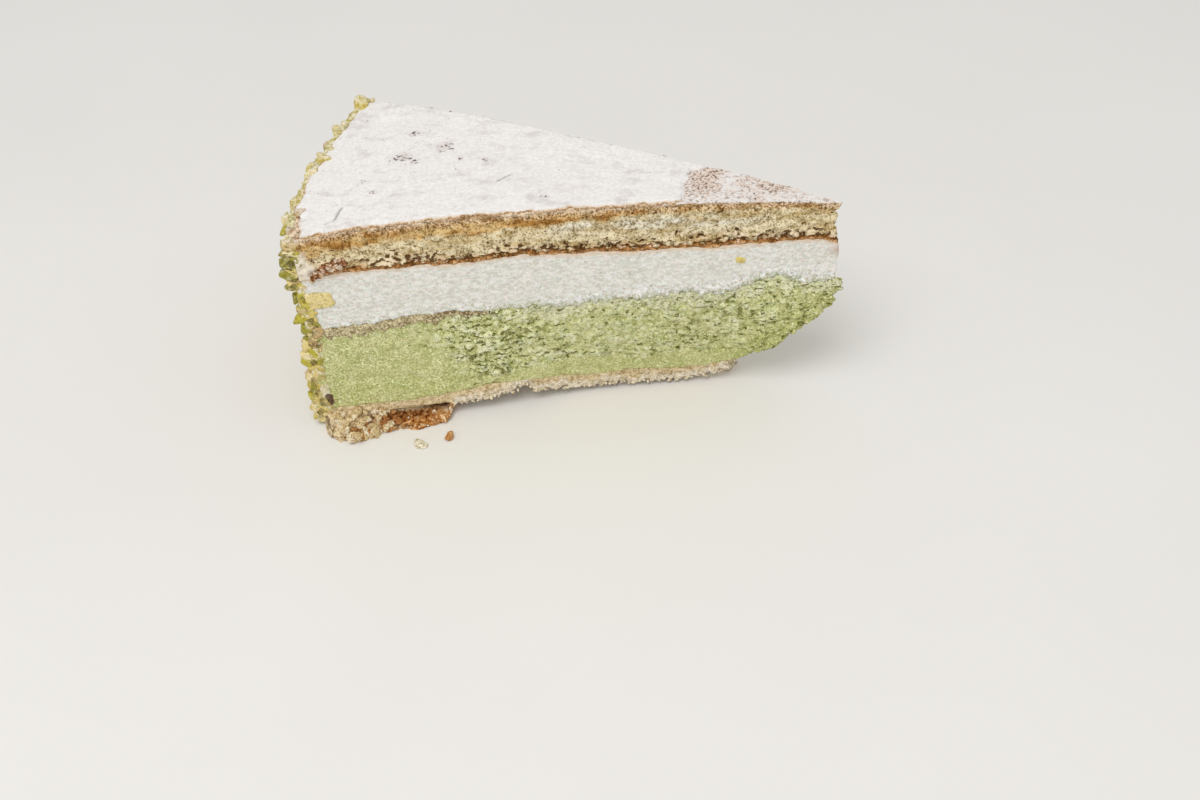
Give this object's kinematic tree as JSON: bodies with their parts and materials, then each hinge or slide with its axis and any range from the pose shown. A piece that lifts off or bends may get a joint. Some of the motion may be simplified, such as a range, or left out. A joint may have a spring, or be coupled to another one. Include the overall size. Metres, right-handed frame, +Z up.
{
  "type": "layer cake slice",
  "caption": "Wedge slice of pistachio ricotta cake: sugared sponge, white ricotta cream, green pistachio cream, torn biscuit base and a chopped pistachio outer wall.",
  "frame": {"origin": "centre of the slice's bounding box, on the surface it stands on", "axes": "+X along the slice's centre line from the curved outer wall to the tip, -Y out of the front cut, +Z up"},
  "size_m": [0.13, 0.0662, 0.0616],
  "materials": {
    "biscuit": "matte pale biscuit crumb, browned crust on its underside",
    "pistachio_cream": "satin light green cream, crumbly where cut",
    "sponge_crumb": "matte open sponge crumb with browned skins",
    "ricotta_cream": "satin white cream",
    "icing_sugar": "matte white powder",
    "pistachio_nut": "chopped pistachio kernels set in white cream"
  },
  "bodies": {
    "root": {"base_biscuit": "biscuit", "pistachio_cream": "pistachio_cream", "crumb_line": "sponge_crumb", "ricotta_cream": "ricotta_cream", "top_sponge": "sponge_crumb", "icing_sugar": "icing_sugar", "nut_coat": "pistachio_nut"}
  },
  "joints": []
}
